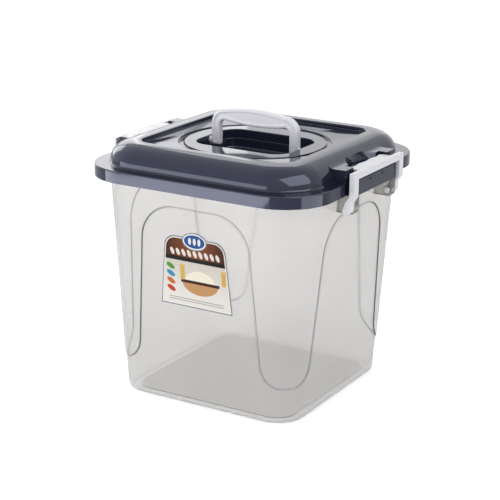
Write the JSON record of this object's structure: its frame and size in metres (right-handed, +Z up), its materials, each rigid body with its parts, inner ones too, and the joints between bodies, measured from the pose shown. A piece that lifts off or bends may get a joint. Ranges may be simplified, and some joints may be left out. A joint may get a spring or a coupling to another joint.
{
  "type": "rice bin",
  "caption": "Square food storage bin: tapered see-through tub, domed lift-off lid held by swing clips at its sides, and a carrying handle that folds down into the lid.",
  "frame": {"origin": "on the table under the middle of the tub", "axes": "+Z up; X runs from clip to clip; the front with the label faces -Y"},
  "size_m": [0.324, 0.306, 0.332],
  "materials": {
    "tub_clear": "gloss, translucent smoky white",
    "label_film": "printed film, satin",
    "lid_slate": "high gloss slate grey",
    "handle_white": "gloss",
    "clip_white": "gloss"
  },
  "bodies": {
    "tub": {"tub": "tub_clear", "label": "label_film"},
    "lid": {"lid": "lid_slate"},
    "handle": {"lid_handle": "handle_white"},
    "clip_right": {"clip_right": "clip_white"},
    "clip_left": {"clip_left": "clip_white"}
  },
  "joints": [
    {"name": "lid_lift", "type": "slide", "parent": "tub", "child": "lid", "axis": [0, 0, 1], "range_m": [0, 0.022]},
    {"name": "handle_fold", "type": "hinge", "parent": "lid", "child": "handle", "pos_m": [0, 0, 0.289], "axis": [1, 0, 0], "range_deg": [-90, 90]},
    {"name": "clip_right_swing", "type": "hinge", "parent": "tub", "child": "clip_right", "pos_m": [0.151, 0, 0.248], "axis": [0, 1, 0], "range_deg": [0, 170]},
    {"name": "clip_left_swing", "type": "hinge", "parent": "tub", "child": "clip_left", "pos_m": [-0.151, 0, 0.248], "axis": [0, -1, 0], "range_deg": [0, 170]}
  ],
  "couplings": [
    {"joint": "clip_right_swing", "follows": "lid_lift", "rad_per_m": 134.86},
    {"joint": "clip_left_swing", "follows": "lid_lift", "rad_per_m": 134.86}
  ]
}
